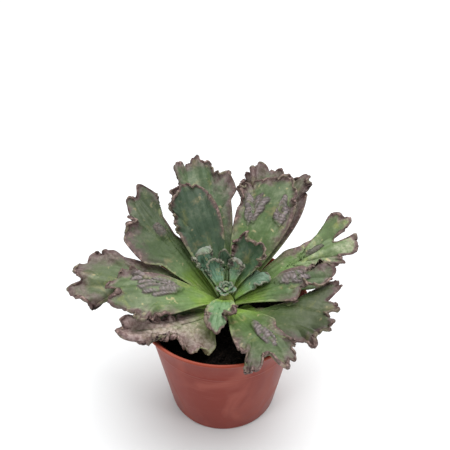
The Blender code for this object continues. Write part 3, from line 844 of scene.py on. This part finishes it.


# The skin of a leaf, shared by the two leaf materials: green that ages outwards, waxy bloom,
# scars, a purple blush, a lightness per leaf that is partly painted shade, lilac warts with
# painted highlights on their crests and painted shade in their creases, an olive underside and
# a browned margin with pale spots that are partly painted highlights.
skin_colours = ("Young", "Middle", "Old", "Cool", "Bloom", "Pale Rim", "Rim Dark", "Rim Light",
                "Below Dark", "Below Light")
skin_numbers = ("Base Reach", "Thread Width", "Smoothest", "Roughest")
leaf_skin, taken, given = new_group(
    "leaf_skin", {name: "Color" for name in skin_colours} | {name: "Float" for name in skin_numbers},
    {"Colour": "Color", "Roughness": "Float", "Relief": "Float"})

along, rim, under = (reading(leaf_skin, name) for name in ("along", "rim", "under"))
wart, crest = reading(leaf_skin, "wart"), reading(leaf_skin, "crest")
flush = reading(leaf_skin, "flush")
where = add_node(leaf_skin, "ShaderNodeTexCoord").outputs["Object"]
flat_place = add_node(leaf_skin, "ShaderNodeCombineXYZ")
leaf_skin.links.new(reading(leaf_skin, "across"), flat_place.inputs["X"])
leaf_skin.links.new(reading(leaf_skin, "run"), flat_place.inputs["Y"])
streaks = grain(leaf_skin, flat_place.outputs[0], 1.0, stretch=(0.9, 0.07, 1))
patches = grain(leaf_skin, where, 75, detail=4, roughness=0.6)
fine = grain(leaf_skin, where, 420, detail=4, roughness=0.65)
mottle = maths(leaf_skin, "SUBTRACT", grain(leaf_skin, where, 170, detail=4, roughness=0.65), 0.5)

uneven = maths(leaf_skin, "MULTIPLY_ADD", maths(leaf_skin, "SUBTRACT", patches, 0.5), 0.5, along)
base_end = maths(leaf_skin, "MULTIPLY", taken["Base Reach"], 0.3)
colour = blend_colour(
    leaf_skin, span(leaf_skin, uneven, base_end, taken["Base Reach"]), taken["Young"], taken["Middle"])
colour = blend_colour(leaf_skin, span(leaf_skin, uneven, 0.42, 0.85), colour, taken["Old"])
cool = maths(leaf_skin, "MULTIPLY", reading(leaf_skin, "cool"), span(leaf_skin, uneven, 0.15, 0.4))
colour = blend_colour(leaf_skin, cool, colour, taken["Cool"])

waxy = maths(leaf_skin, "MULTIPLY", span(leaf_skin, patches, 0.35, 0.7), span(leaf_skin, fine, 0.25, 0.7))
waxy = maths(leaf_skin, "MULTIPLY", waxy, reading(leaf_skin, "wax"))
waxy = maths(leaf_skin, "MULTIPLY", waxy, span(leaf_skin, along, 0.3, 0.9, 0.2, 0.5), clamp=True)
colour = blend_colour(leaf_skin, waxy, colour, taken["Bloom"])
cream = span(leaf_skin, grain(leaf_skin, where, 70, roughness=0.6, warp=0.4), 0.575, 0.72, 0.0, 0.6)
colour = blend_colour(leaf_skin, cream, colour, DRY_CREAM)
scar = span(leaf_skin, grain(leaf_skin, where, 210, detail=2, roughness=0.5), 0.655, 0.73, 0.0, 0.7)
colour = blend_colour(leaf_skin, scar, colour, PALE_SCAR)
blotch = span(
    leaf_skin, grain(leaf_skin, where, 90, detail=5, roughness=0.7, warp=0.6), 0.56, 0.70, 0.0, 0.5)
colour = blend_colour(leaf_skin, blotch, colour, YELLOW_BLOTCH)

ragged = maths(leaf_skin, "MULTIPLY_ADD", mottle, 16.0, rim)
breadth = maths(leaf_skin, "MULTIPLY", flush, 16.0)
aged = span(leaf_skin, maths(leaf_skin, "MULTIPLY_ADD", flush, 0.18, along), 0.4, 0.8, 0.0, 0.9)
blush = maths(leaf_skin, "MULTIPLY", span(leaf_skin, ragged, breadth, 0.0), aged)
purple = blend_colour(leaf_skin, span(leaf_skin, fine, 0.35, 0.65), DEEP_PURPLE, PALE_PURPLE)
colour = blend_colour(leaf_skin, blush, colour, purple)

tone = maths(
    leaf_skin, "MULTIPLY", span(leaf_skin, streaks, 0.3, 0.72, 0.92, 1.07),
    span(leaf_skin, patches, 0.3, 0.7, 0.8, 1.14))
tone = maths(leaf_skin, "MULTIPLY", tone, span(leaf_skin, fine, 0.3, 0.7, 0.92, 1.08))
# Each leaf's shade value darkens or lightens its outer part, while every base keeps one lightness: partly
# the leaf's own tone, partly painted shade.
depth = maths(leaf_skin, "SUBTRACT", reading(leaf_skin, "shade"), 0.7)
depth = maths(leaf_skin, "MULTIPLY", depth, span(leaf_skin, along, 0.12, 0.5))
tone = maths(leaf_skin, "MULTIPLY", tone, maths(leaf_skin, "MULTIPLY_ADD", depth, 1.1, 1.07))
grey = add_node(leaf_skin, "ShaderNodeCombineColor")
for channel in range(3):
    leaf_skin.links.new(tone, grey.inputs[channel])
colour = blend_colour(leaf_skin, 1.0, colour, grey.outputs[0], "MULTIPLY")

beads = add_node(leaf_skin, "ShaderNodeTexVoronoi", {"Scale": 1.0})
bead_place = add_node(leaf_skin, "ShaderNodeMapping", {"Scale": (0.75, 0.5, 1.0)})
leaf_skin.links.new(flat_place.outputs[0], bead_place.inputs["Vector"])
leaf_skin.links.new(bead_place.outputs["Vector"], beads.inputs["Vector"])
bead = span(leaf_skin, beads.outputs["Distance"], 0.65, 0.15)
# Warts are lighter on their crests and bead tops and darker in the creases between their fingers: painted
# highlights and painted crease shade over their own lilac-grey, with brown specks.
top = maths(leaf_skin, "MULTIPLY_ADD", bead, 0.22, maths(leaf_skin, "MULTIPLY", crest, 0.85))
shaded_wart_colour = blend_colour(leaf_skin, span(leaf_skin, top, 0.45, 1.0), WART_CREASE_SHADE, LIT_LILAC_WART)
shaded_wart_colour = blend_colour(leaf_skin, span(leaf_skin, fine, 0.45, 0.7, 0.0, 0.6), shaded_wart_colour, BROWN_WART)
warted = maths(leaf_skin, "MULTIPLY_ADD", mottle, 1.4, wart)
colour = blend_colour(leaf_skin, span(leaf_skin, warted, 0.15, 0.95, 0.0, 0.86), colour, shaded_wart_colour)

below = blend_colour(
    leaf_skin, span(leaf_skin, patches, 0.35, 0.7), taken["Below Dark"], taken["Below Light"])
colour = blend_colour(leaf_skin, span(leaf_skin, under, 0.55, 0.95, 0.0, 0.8), colour, below)

threads = maths(
    leaf_skin, "DIVIDE", maths(leaf_skin, "MULTIPLY_ADD", mottle, 7.0, rim), taken["Thread Width"])
colour = blend_colour(leaf_skin, span(leaf_skin, threads, 0.9, 0.2, 0.0, 0.5), colour, taken["Pale Rim"])
ripe = maths(
    leaf_skin, "MULTIPLY", span(leaf_skin, along, 0.42, 0.62),
    span(leaf_skin, patches, 0.36, 0.56, 0.4, 1.0))
band = maths(leaf_skin, "MULTIPLY", span(leaf_skin, threads, 3.6, 1.4, 0.0, 0.62), ripe)
colour = blend_colour(leaf_skin, band, colour, taken["Rim Dark"])
# Random spots of Rim Light on the dark thread of the margin: partly its own paler pink, partly painted
# highlights on its curls.
rim_pale_and_lit_spots = span(leaf_skin, grain(leaf_skin, where, 330, roughness=0.65), 0.48, 0.66)
edging = blend_colour(leaf_skin, rim_pale_and_lit_spots, taken["Rim Dark"], taken["Rim Light"])
thread = maths(leaf_skin, "MULTIPLY", span(leaf_skin, threads, 2.2, 0.5, 0.0, 0.85), ripe)
colour = blend_colour(leaf_skin, thread, colour, edging)

relief = maths(leaf_skin, "MULTIPLY_ADD", patches, 1.2, maths(leaf_skin, "MULTIPLY", fine, 0.6))
relief = maths(leaf_skin, "MULTIPLY_ADD", maths(leaf_skin, "MULTIPLY", bead, wart), 1.2, relief)
gloss = span(leaf_skin, fine, 0.3, 0.7, taken["Smoothest"], taken["Roughest"])
leaf_skin.links.new(colour, given["Colour"])
leaf_skin.links.new(gloss, given["Roughness"])
leaf_skin.links.new(relief, given["Relief"])


def leaf_material(name, values):
    """A leaf's material: the skin group with this material's values, and its relief."""
    made, tree, shader = new_material(name, Roughness=0.5, Specular_IOR_Level=0.3)
    skin = place_group(tree, leaf_skin, values)
    tree.links.new(skin["Colour"], shader.inputs["Base Color"])
    tree.links.new(skin["Roughness"], shader.inputs["Roughness"])
    dent(tree, shader, skin["Relief"], 0.5, 0.0006)
    return made


SKINS = {
    "grey_green_leaf": leaf_material("grey_green_leaf", {
        "Young": (0.180, 0.290, 0.050), "Middle": (0.104, 0.172, 0.042), "Old": (0.094, 0.130, 0.048),
        "Cool": (0.060, 0.130, 0.066), "Bloom": (0.25, 0.26, 0.18), "Pale Rim": (0.24, 0.28, 0.13),
        "Rim Dark": (0.075, 0.042, 0.040), "Rim Light": (0.27, 0.180, 0.160),
        "Below Dark": (0.11, 0.145, 0.052), "Below Light": (0.155, 0.130, 0.078),
        "Base Reach": 0.38, "Thread Width": 1.0, "Smoothest": 0.42, "Roughest": 0.62}),
    "blue_green_leaf": leaf_material("blue_green_leaf", {
        "Young": (0.20, 0.33, 0.07), "Middle": (0.110, 0.190, 0.075), "Old": (0.095, 0.15, 0.090),
        "Cool": (0.090, 0.182, 0.120), "Bloom": (0.25, 0.34, 0.27), "Pale Rim": (0.26, 0.34, 0.20),
        "Rim Dark": (0.13, 0.12, 0.09), "Rim Light": (0.30, 0.33, 0.25),
        "Below Dark": (0.13, 0.16, 0.11), "Below Light": (0.27, 0.24, 0.24),
        "Base Reach": 0.6, "Thread Width": 0.35, "Smoothest": 0.44, "Roughest": 0.64}),
}
BLUISH = ("inner_leaf_1", "inner_leaf_3", "inner_leaf_4", "inner_leaf_5", "inner_leaf_6")

for name, shape in LEAVES.items():
    slot = "blue_green_leaf" if name in BLUISH else "grey_green_leaf"
    if name.startswith("inner"):
        flesh, cell = INNER_FLESH, INNER_CELL
    else:
        flesh, cell = LEAF_FLESH, LEAF_CELL
    piece = add_piece("grown_" + name, grow_leaf("grown_" + name, shape, flesh, SKINS[slot], cell))
    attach(piece, "root")
    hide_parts(name)


# HEART
# The growing point: a bud of tiny cupped leaves, blue-green with bloom, each
# curled in at its margin, standing on the end of the stem.

HEART_UP = 7.9
HEART_RING = 1.2
LEAFLET_FLESH = 1.3
LEAFLET_CELL = 0.3
BUD_RADIUS = 3.0

# Where each leaflet points, its length, its width and its rise.
HEART_LEAVES = (
    (196, 7.5, 5.6, 24), (255, 8.0, 5.4, 16), (335, 7.5, 5.8, 24),
    (30, 7.0, 5.4, 50), (95, 6.6, 5.2, 62), (150, 7.2, 5.4, 48),
    (232, 5.4, 4.0, 50), (345, 5.2, 4.0, 56), (110, 4.8, 3.6, 74),
)

heart_meshes = []
for number, (az, length, width, rise) in enumerate(HEART_LEAVES):
    leaflet = leaf(
        az, 0, length, width, rise, rise + 20, frill=0.5, cup=0.5, neck=1.8, wave=6, crimp=0.35,
        curl=0.5, phase=number, flush=0.0, shade=0.95, cool=0.5)
    base = rib(leaflet)[1][0]
    ring = HEART_RING * np.array([math.cos(math.radians(az)), math.sin(math.radians(az)), 0.0])
    shift = ring - base + (STEM_X, 0, RIM_UP + HEART_UP)
    heart_meshes.append(grow_leaf(
        f"leaflet_{number}", leaflet, LEAFLET_FLESH, SKINS["blue_green_leaf"], LEAFLET_CELL, shift))
shape = bmesh.new()
for mesh in heart_meshes:
    shape.from_mesh(mesh)
bud = bmesh.ops.create_uvsphere(shape, u_segments=32, v_segments=16, radius=BUD_RADIUS * MM)["verts"]
bmesh.ops.translate(shape, verts=bud, vec=(STEM_X * MM, 0, (RIM_UP + HEART_UP) * MM))
heart = add_piece("heart_bud", built_mesh("heart_bud", shape), SKINS["blue_green_leaf"])
heart.data.shade_smooth()
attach(heart, "root")
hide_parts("heart")


# FLOOR, LIGHT AND CAMERA
# A pale sweep under soft studio light, seen from in front and well above, as
# the plant was photographed.

FLOOR_HALF = 4.0
PALE_GREY = (0.711, 0.724, 0.730, 1.0)
WHITE = (1.0, 1.0, 1.0, 1.0)
SKY_LIGHT = 0.50

shape = bmesh.new()
bmesh.ops.create_grid(shape, x_segments=1, y_segments=1, size=FLOOR_HALF)
pale, tree, shader = new_material("pale_floor", Base_Color=PALE_GREY, Roughness=0.9)
floor = add_piece("floor", built_mesh("floor", shape), pale)

world = bpy.data.worlds.new("studio")
world.use_nodes = True
world.node_tree.nodes["Background"].inputs["Color"].default_value = WHITE
world.node_tree.nodes["Background"].inputs["Strength"].default_value = SKY_LIGHT
bpy.context.scene.world = world
bpy.context.scene.view_settings.view_transform = "Standard"


def soft_lamp(name, place, aim, size, power):
    """A round area lamp at a place in metres, aimed at another, with its power in watts."""
    data = bpy.data.lights.new(name, "AREA")
    data.shape = "DISK"
    data.size = size
    data.energy = power
    lamp = bpy.data.objects.new(name, data)
    bpy.context.scene.collection.objects.link(lamp)
    away = np.array(place) - np.array(aim)
    lamp.location = place
    lamp.rotation_euler = (
        math.atan2(math.hypot(away[0], away[1]), away[2]), 0, math.atan2(away[0], -away[1]))


soft_lamp("key", (0.30, 0.50, 2.4), (0, 0, 0.1), 2.8, 94)
soft_lamp("left_fill", (-0.7, -0.6, 0.5), (0, 0, 0.05), 0.4, 3.5)
soft_lamp("right_fill", (0.8, -0.5, 0.5), (0, 0, 0.05), 0.4, 2.5)

RIM_SEEN_FROM = 43.0
DISTANCE = 0.420
FOCAL_PIXELS = 600.0
FRAME_PIXELS = 450.0
RIM_PIXEL = (222.6, 299.8)
SENSOR = 36.0

sideways = math.atan((RIM_PIXEL[0] - FRAME_PIXELS / 2) / FOCAL_PIXELS)
down = math.radians(RIM_SEEN_FROM) - math.atan((RIM_PIXEL[1] - FRAME_PIXELS / 2) / FOCAL_PIXELS)
camera_data = bpy.data.cameras.new("camera")
camera_data.sensor_width = SENSOR
camera_data.lens = FOCAL_PIXELS * SENSOR / FRAME_PIXELS
camera = bpy.data.objects.new("camera", camera_data)
bpy.context.scene.collection.objects.link(camera)
camera.location = (
    0.0, -DISTANCE * math.cos(math.radians(RIM_SEEN_FROM)),
    POT_HEIGHT + DISTANCE * math.sin(math.radians(RIM_SEEN_FROM)))
camera.rotation_euler = (math.pi / 2 - down, 0.0, sideways)
bpy.context.scene.camera = camera
